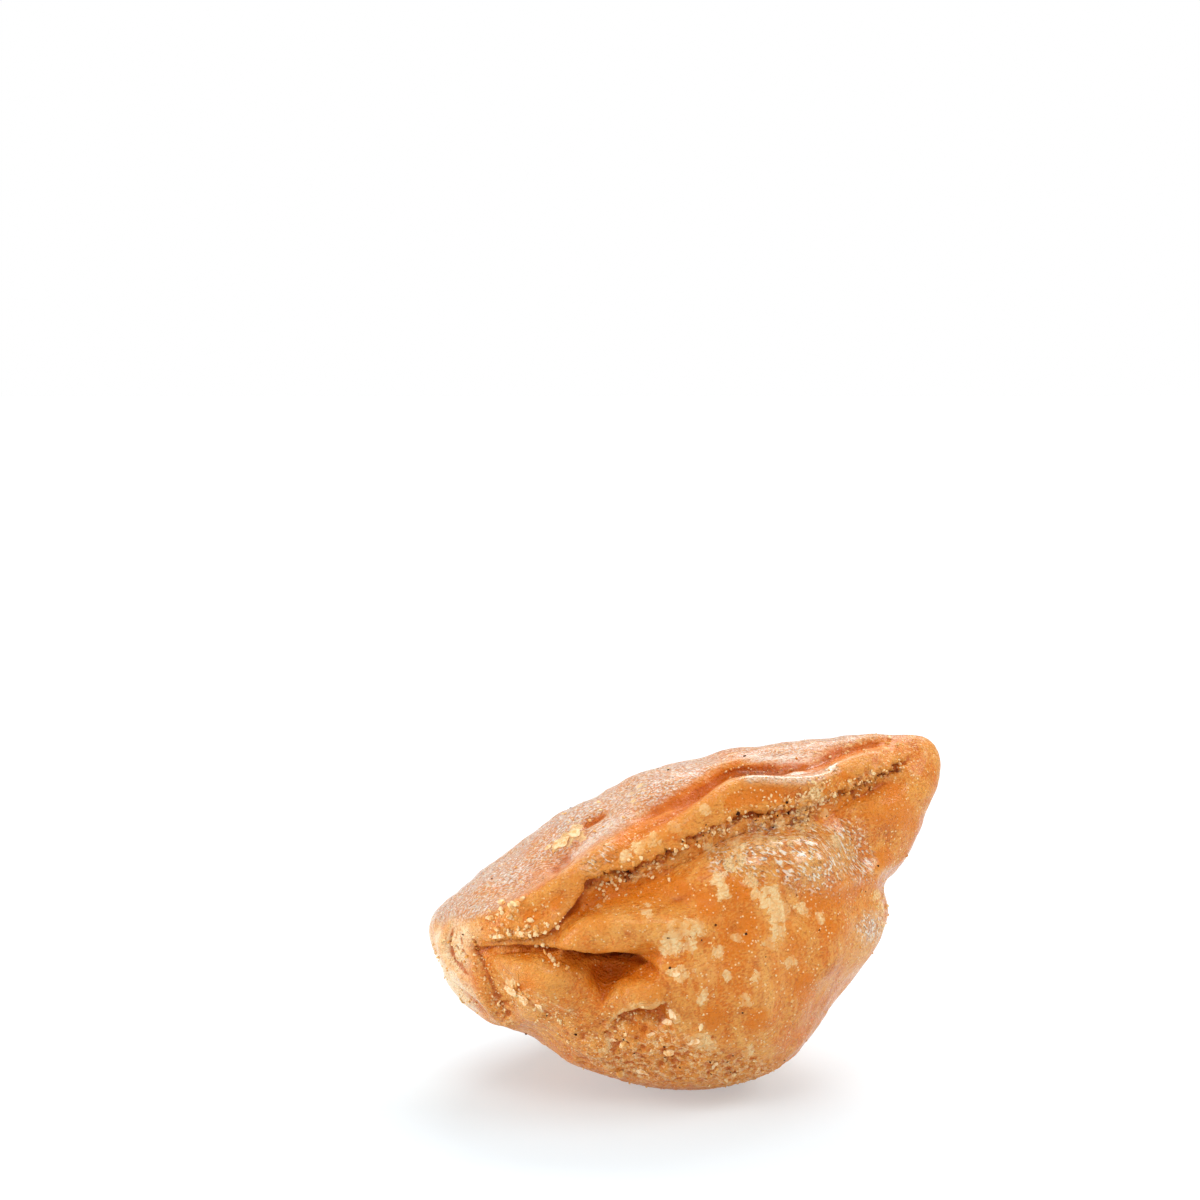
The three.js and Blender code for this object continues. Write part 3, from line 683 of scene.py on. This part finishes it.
class Finish:
    """A material while it is put together. Sizes in it are in millimetres on the piece itself."""

    def __init__(self, name, colour=None):
        self.colour = colour
        self.material = bpy.data.materials.new(name)
        self.material.use_nodes = True
        self.tree = self.material.node_tree
        self.shader = self.tree.nodes["Principled BSDF"]
        self.places = self.add("ShaderNodeTexCoord").outputs["Object"]

    def add(self, kind, inputs=(), **settings):
        node = self.tree.nodes.new(kind)
        for key, value in settings.items():
            setattr(node, key, value)
        for key, value in dict(inputs).items():
            self.feed(node.inputs[key], value)
        return node

    def feed(self, socket, value):
        if isinstance(value, bpy.types.NodeSocket):
            self.tree.links.new(value, socket)
        else:
            socket.default_value = value

    def set(self, inputs):
        """Sets the shader's own sockets."""
        for key, value in inputs.items():
            self.feed(self.shader.inputs[key], value)

    def mark(self, name):
        return self.add("ShaderNodeAttribute", attribute_name=name).outputs["Fac"]

    def in_mm(self, shift, stretch=(1, 1, 1), degrees=0):
        """Places in millimetres, drawn out along X, Y and Z after a turn about Y."""
        inputs = {"Vector": self.places, "Scale": [part * MM for part in stretch],
                  "Rotation": (0, math.radians(degrees), 0),
                  "Location": (shift * MM, shift * MM, -shift * MM)}
        return self.add("ShaderNodeMapping", inputs, vector_type="TEXTURE").outputs["Vector"]

    def grain(self, size, detail=2.0, stretch=(1, 1, 1), degrees=0, shift=0.0, roughness=0.5):
        """Soft noise round 0.5, with lumps about size across."""
        inputs = {"Vector": self.in_mm(shift, stretch, degrees), "Scale": 1 / size, "Detail": detail,
                  "Roughness": roughness}
        return self.add("ShaderNodeTexNoise", inputs).outputs["Fac"]

    def cells(self, size, shift=0.0, output="Distance", wobble=0.0):
        """Cells about size across: the distance to each one's middle, or a colour of its own."""
        places = self.in_mm(shift)
        if wobble:
            swirl = self.add("ShaderNodeTexNoise", {"Vector": places, "Scale": 2 / size, "Detail": 2.0})
            bend = {0: swirl.outputs["Color"], 1: (wobble,) * 3, 2: places}
            places = self.add("ShaderNodeVectorMath", bend, operation="MULTIPLY_ADD").outputs[0]
        return self.add("ShaderNodeTexVoronoi", {"Vector": places, "Scale": 1 / size}).outputs[output]

    def span(self, value, low, high, start=0.0, end=1.0):
        """Turns low..high into start..end, smoothly, and holds still beyond them."""
        inputs = {"Value": value, "From Min": low, "From Max": high, "To Min": start, "To Max": end}
        return self.add("ShaderNodeMapRange", inputs, interpolation_type="SMOOTHSTEP").outputs["Result"]

    def combined(self, operation, *values):
        total = values[0]
        for value in values[1:]:
            node = self.add("ShaderNodeMath", operation=operation)
            self.feed(node.inputs[0], total)
            self.feed(node.inputs[1], value)
            total = node.outputs[0]
        return total

    def times(self, *values):
        return self.combined("MULTIPLY", *values)

    def plus(self, *values):
        return self.combined("ADD", *values)

    def over(self, below, amount, above):
        """One colour laid over another. The sockets are a mix node's own for colours."""
        return self.add("ShaderNodeMix", {0: amount, 6: below, 7: above}, data_type="RGBA").outputs[2]

    def lay(self, amount, above):
        """Lays a colour over all that the finish has so far."""
        self.colour = self.over(self.colour, amount, above)

    def relief(self, height, depth, below=None):
        """Bumps of the given depth, in millimetres."""
        inputs = {"Height": height, "Distance": depth * MM, "Strength": 1.0}
        if below is not None:
            inputs["Normal"] = below
        return self.add("ShaderNodeBump", inputs).outputs["Normal"]


def crust_finish():
    """Fried wheat crust: golden, deeper amber in the valleys as painted shade, with pale flaky plates and
    crumbs.
    """
    crust = Finish("fried_crust", GOLDEN)
    lay, span, grain, times = crust.lay, crust.span, crust.grain, crust.times
    amber_and_shade, crease, pale = crust.mark("amber_and_shade"), crust.mark("crease"), crust.mark("pale")
    crumbly, painted_sheen, proud = crust.mark("crumbly"), crust.mark("painted_sheen"), crust.mark("proud")
    streaks_and_glints, dry_end, light = crust.mark("streaks_and_glints"), crust.mark("dry_end"), crust.mark("light")
    painted_highlight = crust.mark("painted_highlight")

    # golden dough, streaked from the rim downwards, with brown blotches and a fine mottle
    lay(span(grain(9, 3), 0.48, 0.62), LIGHT_GOLDEN)
    streaks = grain(1.8, 3, stretch=(1, 1, 5), degrees=-8, shift=4)
    lay(span(streaks, 0.5, 0.6, 0, 0.9), LIGHT_GOLDEN)
    lay(span(streaks, 0.47, 0.36, 0, 0.8), AMBER)
    blotches = grain(5, 4, shift=9, roughness=0.6)
    lay(span(blotches, 0.53, 0.66, 0, 0.75), BROWN_BLOTCH)
    lay(times(light, span(streaks, 0.38, 0.56, 0.4, 1)), STRAW)
    mottle = grain(0.8, 2, shift=2)
    lay(span(mottle, 0.52, 0.7, 0, 0.5), LIGHT_GOLDEN)
    lay(span(mottle, 0.48, 0.32, 0, 0.5), AMBER)

    # crumbly places: tan between lighter grains
    grains = grain(1.0, 3, shift=5, roughness=0.7)
    torn = crust.over(BROWN_BLOTCH, span(grains, 0.32, 0.42), GOLDEN)
    torn = crust.over(torn, span(grains, 0.47, 0.6), CRUMB_LIGHT)
    lay(span(crust.plus(crumbly, grains), 0.9, 1.3, 0, 0.7), torn)

    # a sandy grain all over, strongest on the slopes that face up, where a pale sheen is painted
    sand = grain(0.32, 1, stretch=(1.6, 1, 1), degrees=-35, shift=11)
    lay(span(sand, 0.52, 0.64, 0, 0.75), LIGHT_GOLDEN)
    lay(span(sand, 0.48, 0.36, 0, 0.45), DEEP_AMBER)
    # painted sheen: the slopes that face up turn pale pink, with golden gaps and white grains
    thin = span(grain(7, 3, shift=22), 0.4, 0.6, 0.6, 0.9)
    lay(times(painted_sheen, thin), SHEEN_PINK)
    lay(times(painted_sheen, span(sand, 0.5, 0.36, 0, 0.65)), GOLDEN)
    lay(times(painted_sheen, span(sand, 0.5, 0.62, 0, 0.8)), SHEEN_WHITE)
    lay(times(dry_end, span(sand, 0.36, 0.54, 0.6, 1)), CREAM)
    # deeper amber where it fried deeper, and painted shade in the valleys and round the creases
    lay(span(amber_and_shade, 0.05, 0.6, 0, 0.85), AMBER)
    lay(span(amber_and_shade, 0.6, 1.0, 0, 0.75), DEEP_AMBER)

    # fine pale streaks where the skin was drawn tight, with white glints painted on them
    strands = grain(0.45, 2, stretch=(2.8, 1, 1), degrees=32, shift=19)
    lay(times(streaks_and_glints, span(strands, 0.48, 0.58, 0, 0.55)), PALE_PLATE)
    lay(times(streaks_and_glints, span(strands, 0.55, 0.64, 0, 0.8)), HIGHLIGHT_WHITE)

    # painted highlights: white lines where the oily slopes would reflect the light
    lay(times(painted_highlight, span(sand, 0.4, 0.52, 0.4, 0.9)), HIGHLIGHT_WHITE)

    # pale plates with crisp broken edges, and small ones scattered all over
    scattered = span(grain(7, 2, shift=12), 0.5, 0.78, 0, 0.55)
    chips = crust.plus(crust.cells(0.8, shift=3, output="Color", wobble=1.6), mottle)
    likely = crust.plus(times(crust.combined("MAXIMUM", pale, scattered), 1.2), chips)
    plate = times(span(likely, 1.64, 1.86), span(streaks, 0.34, 0.54, 0.3, 1))
    lay(span(pale, 0.2, 1, 0, 0.4), LIGHT_GOLDEN)
    flour = crust.over(PALE_PLATE, span(sand, 0.4, 0.6, 0, 0.45), LIGHT_GOLDEN)
    lay(times(plate, 0.9), flour)

    # bright grains, and painted highlight: edges that stand proud are lighter
    dots = span(crust.cells(0.7, shift=6), 0.26, 0.16)
    chosen = span(grain(1.8, 1, shift=8), 0.46, 0.52)
    lay(times(dots, chosen, 0.75), CRUMB_LIGHT)
    lay(span(proud, 0.6, 0.9, 0, 0.45), LIGHT_GOLDEN)

    # painted shade: hollows between proud edges are darker and the creases dark, and a few spice specks under
    # the skin
    lay(span(proud, 0.43, 0.1, 0, 0.8), DEEP_AMBER)
    lay(span(crease, 0.2, 0.9, 0, 0.85), SHADOW_BROWN)
    specks = span(crust.cells(4.2, shift=1), 0.055, 0.035)
    lay(times(specks, 0.85), SPICE)

    # dry places are dull, and a thin coat of oil shines on the rest, most where it is streaky
    dry = crust.combined("MAXIMUM", plate, span(crumbly, 0.2, 0.8))
    shine = span(grain(3, 3, stretch=(1, 1, 2.5), shift=15), 0.35, 0.65, 0.24, 0.4)
    roughness = crust.plus(shine, times(dry, 0.25))
    oil = crust.combined("SUBTRACT", crust.plus(0.25, times(streaks_and_glints, 0.75)), times(amber_and_shade, 0.25))
    crust.set({"Base Color": crust.colour, "Roughness": roughness, "Specular IOR Level": 0.2,
               "Subsurface Weight": 0.08, "Subsurface Radius": (1.0, 0.4, 0.15), "Subsurface Scale": 1.0 * MM,
               "Coat Weight": oil, "Coat Roughness": 0.15})

    # relief too fine for the mesh
    coarse = crust.relief(grain(2.2, 5, shift=10, roughness=0.65), 0.6)
    drawn = crust.relief(times(strands, crust.plus(0.3, streaks_and_glints)), 0.8, coarse)
    sandy = times(sand, crust.plus(0.8, painted_sheen))
    crust.set({"Normal": crust.relief(sandy, 0.4, drawn)})
    return crust.material


def crumb_finish():
    """Dry pale crumbs, each a little different."""
    crumbs = Finish("dry_crumbs", CRUMB_TAN)
    crumbs.lay(crumbs.span(crumbs.grain(1.3, 1), 0.36, 0.6), CRUMB_LIGHT)
    crumbs.lay(crumbs.span(crumbs.grain(0.25, 2), 0.55, 0.35, 0, 0.2), GOLDEN)
    crumbs.set({"Base Color": crumbs.colour, "Roughness": 0.6, "Specular IOR Level": 0.3,
                "Subsurface Weight": 0.15, "Subsurface Radius": (1.0, 0.6, 0.3), "Subsurface Scale": 0.5 * MM,
                "Normal": crumbs.relief(crumbs.grain(0.2, 2), 0.05)})
    return crumbs.material


def spice_finish():
    """Cumin and pepper, nearly black where they have fried."""
    spice = Finish("fried_spice", SPICE)
    spice.lay(spice.span(spice.grain(0.4, 2), 0.5, 0.75, 0, 0.6), SHADOW_BROWN)
    spice.set({"Base Color": spice.colour, "Roughness": 0.7, "Specular IOR Level": 0.1,
               "Normal": spice.relief(spice.grain(0.15, 1), 0.04)})
    return spice.material


def flake_finish():
    """Thin plates of crust that have dried pale."""
    flakes = Finish("torn_flakes", CREAM)
    flakes.lay(flakes.span(flakes.grain(0.9, 3, roughness=0.65), 0.42, 0.62, 0, 0.8), LIGHT_GOLDEN)
    flakes.set({"Base Color": flakes.colour, "Roughness": 0.5, "Specular IOR Level": 0.3,
                "Normal": flakes.relief(flakes.grain(0.5, 3), 0.12)})
    return flakes.material


crust, skin = make_crust()
crust.data.materials.clear()
crust.data.materials.append(crust_finish())
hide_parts("samosa")
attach(crust, "root")

# ---- Crumbs, spice specks and torn flakes: each kind is a piece of its own. ----

# Crumbs that stick along a path: (u, w) points, how far they stray, how many, and the largest radius.
CRUMB_TRAILS = [
    dict(path=[(-15, 33.2), (-10.5, 33.9), (-4, 36.6), (2, 40.2), (7, 42.3), (13, 43.2)], stray=0.9,
         count=150, size=0.5),
    dict(path=[(12, 45.2), (15, 45.8), (18, 45.4), (20.4, 46.2)], stray=1.0, count=60, size=0.45),
    dict(path=[(17, 41.6), (17.6, 44), (18.6, 46.4), (20, 48.2)], stray=0.9, count=120, size=0.5),
    dict(path=[(20, 46), (25, 47.6), (30, 50.2), (34, 52.8)], stray=0.7, count=70, size=0.4),
    dict(path=[(-34, 24.6), (-29, 25.6), (-25, 25.9), (-22, 26.6)], stray=0.9, count=44, size=0.6),
    dict(path=[(-32, 27.5), (-29.3, 29), (-26.4, 29.5)], stray=0.6, count=22, size=0.6),
    dict(path=[(-25.4, 26), (-24.4, 23.6), (-23.2, 21.8), (-20.7, 20.4)], stray=0.8, count=18, size=0.8),
    dict(path=[(-37.9, 25), (-37.6, 22.4), (-36.2, 20.2)], stray=0.7, count=24, size=0.4),
    dict(path=[(-34, 22.6), (-32, 18.6), (-29.6, 13), (-28.4, 10.6)], stray=0.7, count=36, size=0.45),
    dict(path=[(-29, 16.2), (-26.4, 14.8), (-23, 12.6), (-19, 10.4)], stray=1.0, count=60, size=0.45),
    dict(path=[(-14, 11.4), (-9, 12), (-5, 11.6)], stray=1.4, count=30, size=0.4),
    dict(path=[(-18, 6), (-10, 5), (0, 4), (9, 4)], stray=3.0, count=60, size=0.5),
    dict(path=[(-13, 7), (-6, 7), (2, 5)], stray=2.6, count=8, size=0.9),
    dict(path=[(-41, 23), (-40.2, 20), (-38.4, 16.4), (-35.4, 12.6)], stray=0.8, count=60, size=0.35),
    dict(path=[(31, 33), (30.6, 28), (31, 22)], stray=0.9, count=30, size=0.35),
    dict(path=[(-24, 40), (-18, 43.4), (-12, 46)], stray=2.0, count=24, size=0.4),
    dict(path=[(6, 50.6), (14, 51), (24, 53.8), (33, 56)], stray=0.8, count=40, size=0.4),
]
LOOSE_CRUMBS = 220  # and these, anywhere on the crust
LOOSE_CRUMB_SIZE = 0.3
CLEAR_OF_FLOOR = 1.2  # loose crumbs and specks lie on skin higher than this

# Dark spice specks that show on the face, as (u, w, radius).
SPICE_SPOTS = [
    (3.3, 26.4, 0.55), (11, 21.5, 0.25), (7.5, 12.9, 0.22), (1.1, 24.1, 0.2), (-4.1, 24.4, 0.25),
    (-0.7, 24.6, 0.2), (-3.8, 19.8, 0.32), (0.5, 39.2, 0.25), (1.9, 41.8, 0.3), (21.2, 43.4, 0.3),
    (-13.9, 38.6, 0.3), (3.6, 38.5, 0.3), (-10.3, 34.7, 0.4), (-4.3, 37.8, 0.35), (-1.7, 39.3, 0.35),
    (-0.1, 39.8, 0.25), (7, 43.6, 0.5), (14.7, 45.4, 0.5), (15.1, 43.8, 0.45), (13.3, 43.4, 0.4),
    (17.8, 44.2, 0.35), (24, 47, 0.25), (-22.8, 12.3, 0.4), (-18.3, 9.4, 0.35), (-10.9, 8.6, 0.3),
    (-4.6, 7.6, 0.3), (2.6, 5.1, 0.25), (-9.2, 6.4, 0.3), (-4.4, 5.8, 0.35), (-2, 4.2, 0.25),
    (2.9, 3.1, 0.25), (6, 3.4, 0.25), (6.2, 6.1, 0.3), (5.3, 5.1, 0.25), (-14.5, 11.1, 0.25),
    (-25.6, 27.4, 0.25), (12.6, 41.6, 0.25), (18.8, 47.6, 0.25), (9.8, 42.6, 0.3), (-31.6, 33.6, 0.3),
    (22.4, 41.2, 0.2), (27.4, 31.6, 0.2),
]
LOOSE_SPICE = 26
LOOSE_SPICE_RADII = (0.12, 0.26)

# Torn flakes: (u, w, half length, half width, turned by degrees, lift of the far end).
TORN_FLAKES = [
    (-20.6, 39.2, 1.7, 0.7, 24, 0.4), (-18.4, 40.6, 1.3, 0.6, 20, 0.3), (-22.6, 38.6, 0.8, 0.5, 30, 0.3),
    (-2.8, 19, 0.9, 0.6, 10, 0.2), (-3.4, 12.8, 1.0, 0.5, -60, 0.35), (-4, 11.6, 0.8, 0.5, 10, 0.3),
    (-28.6, 16.4, 1.3, 0.6, -30, 0.3), (-26.6, 15, 1.2, 0.6, -40, 0.3), (-24, 13.8, 0.9, 0.4, -30, 0.25),
    (-30.4, 24.6, 1.2, 0.5, 8, 0.3), (-26.8, 25, 1.0, 0.5, 0, 0.3), (-6.4, 9.6, 0.7, 0.3, 20, 0.25),
    (-12.6, 8.6, 0.8, 0.35, 10, 0.25), (-8, 3.4, 1.2, 0.4, -12, 0.25), (3.4, 4.6, 0.8, 0.35, 50, 0.25),
    (0, 8.4, 1.0, 0.6, 20, 0.2), (13.4, 44.6, 1.0, 0.5, 30, 0.3),
]


class Ground:
    """The worked crust, as something for crumbs and flakes to lie on."""

    DROP_FROM = 80  # further out than any of the crust

    def __init__(self, skin):
        faces = [tuple(polygon.vertices) for polygon in skin.piece.data.polygons]
        self.tree = BVHTree.FromPolygons([Vector(point) for point in skin.points], faces)

    def at(self, u, w):
        """The crust's point and normal at (u, w) on the shut face, or None beside it."""
        hit, normal, _, _ = self.tree.ray_cast(Vector((u, w, self.DROP_FROM)), Vector((0, 0, -1)))
        if hit is None or hit.z < Skin.RIM_DEPTH:
            return None
        return np.array(hit), np.array(normal)


SOFT_ANGLE = math.radians(35)  # faces that meet at less than this are shaded as one


def joined_piece(name, parts, finish):
    """One piece from many small closed meshes, each given as (points in the moulding frame, faces)."""
    points, faces, start = [], [], 0
    for places, part_faces in parts:
        faces += [tuple(start + i for i in face) for face in part_faces]
        points.append(places)
        start += len(places)
    mesh = bpy.data.meshes.new(name)
    mesh.from_pydata([tuple(place) for place in to_frame(np.vstack(points))], [], faces)
    piece = bpy.data.objects.new(name, mesh)
    bpy.context.scene.collection.objects.link(piece)
    make_active(piece)
    bpy.ops.object.mode_set(mode="EDIT")
    bpy.ops.mesh.select_all(action="SELECT")
    bpy.ops.mesh.normals_make_consistent(inside=False)
    bpy.ops.object.mode_set(mode="OBJECT")
    bpy.ops.object.shade_smooth_by_angle(angle=SOFT_ANGLE)
    piece.data.materials.append(finish)
    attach(piece, "root")
    return piece


def lump_shape():
    """One lump of radius 1: a cube, cut once and rounded."""
    deselect_all()
    bpy.ops.mesh.primitive_cube_add(size=2)
    lump = bpy.context.object
    bpy.ops.object.mode_set(mode="EDIT")
    bpy.ops.mesh.select_all(action="SELECT")
    bpy.ops.mesh.subdivide(number_cuts=1)
    bpy.ops.transform.tosphere(value=1)
    bpy.ops.object.mode_set(mode="OBJECT")
    places = np.array([vertex.co for vertex in lump.data.vertices])
    faces = [tuple(polygon.vertices) for polygon in lump.data.polygons]
    bpy.data.objects.remove(lump)
    return places / np.linalg.norm(places, axis=1).max(), faces


SQUASH = (0.45, 1.3)  # a lump's least and greatest stretch each way
DENTS = (0.55, 1.15)  # and how far each of its points may be knocked in or out


def knocked(lump, draw, place, normal, radius, sunk):
    """A copy of the lump on the crust, knocked out of shape, turned anyhow and partly sunk in."""
    shape, faces = lump
    squash = np.array([draw.uniform(*SQUASH) for _ in range(3)])
    dents = np.array([draw.uniform(*DENTS) for _ in shape])[:, None]
    rotation = np.array(Euler([draw.uniform(0, math.tau) for _ in range(3)]).to_matrix())
    return place + normal * radius * (0.8 - sunk) + (shape * dents * squash * radius) @ rotation.T, faces


def loose_spot(skin, draw, free):
    """The point and normal of any of the free points of the skin."""
    i = draw.choice(free)
    return skin.points[i], skin.normals[i]


def make_crumbs(skin, ground, lump):
    draw = random.Random(31)
    parts = []
    for trail in CRUMB_TRAILS:
        line = smooth_line(trail["path"])
        for _ in range(trail["count"]):
            u, w = draw.choice(line)
            spot = ground.at(u + draw.gauss(0, trail["stray"]), w + draw.gauss(0, trail["stray"]))
            radius = trail["size"] * draw.triangular(0.3, 1, 0.4)
            if spot is not None:
                parts.append(knocked(lump, draw, *spot, radius, sunk=0.4))
    free = np.nonzero(skin.heights() > CLEAR_OF_FLOOR)[0]
    for _ in range(LOOSE_CRUMBS):
        spot = loose_spot(skin, draw, free)
        radius = LOOSE_CRUMB_SIZE * draw.triangular(0.4, 1, 0.5)
        parts.append(knocked(lump, draw, *spot, radius, sunk=0.5))
    parts = [part for part in parts if to_frame(part[0])[:, 2].min() > 0]
    return joined_piece("crumbs", parts, crumb_finish())


def make_spice(skin, ground, lump):
    draw = random.Random(32)
    parts = []
    for u, w, radius in SPICE_SPOTS:
        spot = ground.at(u, w)
        if spot is not None:
            parts.append(knocked(lump, draw, *spot, 0.75 * radius, sunk=0.9))
    free = np.nonzero(skin.heights() > CLEAR_OF_FLOOR)[0]
    for _ in range(LOOSE_SPICE):
        spot = loose_spot(skin, draw, free)
        parts.append(knocked(lump, draw, *spot, draw.uniform(*LOOSE_SPICE_RADII), sunk=0.9))
    return joined_piece("spice_specks", parts, spice_finish())


FLAKE_RINGS = (0.35, 0.7, 1.0)
FLAKE_AROUND = 18
FLAKE_THICKNESS = 0.18
FLAKE_STANDS = 0.1  # mm, its top above the crust where it lies flat


def torn_flake(ground, draw, u, w, length, width, degrees, lift):
    """A thin plate that follows the crust, with a ragged edge and one end curling up."""
    cos, sin = math.cos(math.radians(degrees)), math.sin(math.radians(degrees))
    edge = np.array([draw.uniform(0.35, 1.3) for _ in range(FLAKE_AROUND)])
    edge = 0.5 * edge + 0.25 * np.roll(edge, 1) + 0.25 * np.roll(edge, -1)
    angles = np.arange(FLAKE_AROUND) * math.tau / FLAKE_AROUND
    spread = [(0.0, 0.0)] + [(ring * e * math.cos(t), ring * e * math.sin(t))
                             for ring in FLAKE_RINGS for e, t in zip(edge, angles)]
    top, under = [], []
    for x, y in spread:
        along, across = x * length, y * width
        spot = ground.at(u + along * cos - across * sin, w + along * sin + across * cos)
        if spot is None:
            return None
        place, normal = spot
        raised = FLAKE_STANDS + lift * max(0, x) ** 2
        top.append(place + normal * raised)
        under.append(place + normal * (raised - FLAKE_THICKNESS * (1.3 - math.hypot(x, y))))
    count = len(spread)
    n = FLAKE_AROUND
    faces = []
    for k in range(n):
        after = (k + 1) % n
        faces += [(0, 1 + k, 1 + after), (count, count + 1 + after, count + 1 + k)]
        for ring in range(len(FLAKE_RINGS) - 1):
            a0, a1 = 1 + ring * n + k, 1 + ring * n + after
            faces += [(a0, a0 + n, a1 + n, a1), (count + a0, count + a1, count + a1 + n, count + a0 + n)]
        rim, next_rim = count - n + k, count - n + after
        faces.append((rim, count + rim, count + next_rim, next_rim))
    return np.array(top + under), faces


def make_flakes(ground):
    draw = random.Random(33)
    parts = [torn_flake(ground, draw, *flake) for flake in TORN_FLAKES]
    return joined_piece("torn_flakes", [part for part in parts if part is not None], flake_finish())


ground = Ground(skin)
lump = lump_shape()
make_crumbs(skin, ground, lump)
make_spice(skin, ground, lump)
make_flakes(ground)

# ---- The studio. ----

FLOOR_SIZE = 4.0
FLOOR_COLOUR = (0.5, 0.53, 0.55, 1)
FLOOR_LIGHT = (0.91, 1.0, 1.04, 1)
FLOOR_GLOW = 0.39  # the sweep is lit from under as well, so that shadows on it stay pale
FAR_FLOOR_GLOW = 0.85  # far from the softboxes it glows more, so that it stays white up to its edge
FLOOR_FADE = (0.3, 0.8)  # metres from the samosa, where one glow passes into the other


def floor_finish():
    """Pale and dull, and glowing by how far it is from the samosa."""
    floor = Finish("pale_floor")
    distance = floor.add("ShaderNodeVectorMath", {0: floor.places}, operation="LENGTH").outputs["Value"]
    near, far = FLOOR_FADE
    fade = {"Value": distance, "From Min": near, "From Max": far, "To Min": FLOOR_GLOW,
            "To Max": FAR_FLOOR_GLOW}
    glow = floor.add("ShaderNodeMapRange", fade).outputs["Result"]
    floor.set({"Base Color": FLOOR_COLOUR, "Roughness": 0.7, "Emission Color": FLOOR_LIGHT,
               "Emission Strength": glow})
    return floor.material


def make_floor():
    deselect_all()
    bpy.ops.mesh.primitive_plane_add(size=FLOOR_SIZE, location=(0, 0, 0))
    floor = bpy.context.object
    floor.name = "studio_floor"
    floor.data.materials.append(floor_finish())


SURROUNDINGS = 0.55  # how brightly the white studio lights the samosa; it is seen at full white
MIDDLE = Vector((0, 0, 0.03))  # of the samosa, where the softboxes point
# Softboxes: how far across and how tall, their light in watts, and where they hang, aimed at the samosa.
SOFTBOXES = {
    "ceiling_softbox": dict(size=0.8, tall=0.8, watts=0.6, place=(-0.05, 0, 0.75)),
    "front_softbox": dict(size=0.3, tall=0.3, watts=1.05, place=(-0.05, -0.42, 0.5)),
    "back_softbox": dict(size=0.5, tall=0.22, watts=2.2, place=(0.1, 0.35, 0.46)),
    "right_softbox": dict(size=0.3, tall=0.2, watts=0.9, place=(0.42, -0.06, 0.36)),
    "left_softbox": dict(size=0.3, tall=0.3, watts=1.35, place=(-0.5, -0.12, 0.12)),
}


def make_lights():
    scene = bpy.context.scene
    world = bpy.data.worlds.new("white_surroundings")
    world.use_nodes = True
    background = world.node_tree.nodes["Background"]
    background.inputs["Color"].default_value = (1, 1, 1, 1)
    sight = world.node_tree.nodes.new("ShaderNodeLightPath")
    strength = world.node_tree.nodes.new("ShaderNodeMapRange")
    strength.inputs["To Min"].default_value = SURROUNDINGS
    strength.inputs["To Max"].default_value = 1.0
    world.node_tree.links.new(sight.outputs["Is Camera Ray"], strength.inputs["Value"])
    world.node_tree.links.new(strength.outputs["Result"], background.inputs["Strength"])
    scene.world = world
    for name, box in SOFTBOXES.items():
        light = bpy.data.lights.new(name, "AREA")
        light.energy = box["watts"]
        light.shape = "RECTANGLE"
        light.size = box["size"]
        light.size_y = box["tall"]
        softbox = bpy.data.objects.new(name, light)
        scene.collection.objects.link(softbox)
        softbox.location = box["place"]
        aim = MIDDLE - softbox.location
        softbox.rotation_euler = aim.to_track_quat("-Z", "Y").to_euler()
    scene.view_settings.view_transform = "Standard"


FOCAL_LENGTH = 100  # mm, on a sensor 36 mm wide
VIEW_DISTANCE = 0.5376  # from the camera to the plane of the face's rim
VIEW_TILT = math.radians(6.65)  # the camera looks down this much
AIM_ON_FACE = (-0.97, 28.4, 0)  # the middle of the face, which shows right of and below the view's middle
AIM_RIGHT = 0.01355  # how far it is right of the view's middle
AIM_BELOW = 0.0503  # and how far below


def make_camera():
    scene = bpy.context.scene
    camera = bpy.data.objects.new("camera", bpy.data.cameras.new("camera"))
    scene.collection.objects.link(camera)
    camera.data.lens = FOCAL_LENGTH
    camera.data.clip_start = 0.01
    forward = Vector((0, math.cos(VIEW_TILT), -math.sin(VIEW_TILT)))
    up = Vector((0, math.sin(VIEW_TILT), math.cos(VIEW_TILT)))
    aim = Vector(to_frame([AIM_ON_FACE])[0])
    camera.location = aim - Vector((AIM_RIGHT, 0, 0)) + up * AIM_BELOW - forward * VIEW_DISTANCE
    camera.rotation_euler = forward.to_track_quat("-Z", "Y").to_euler()
    scene.camera = camera


make_floor()
make_lights()
make_camera()
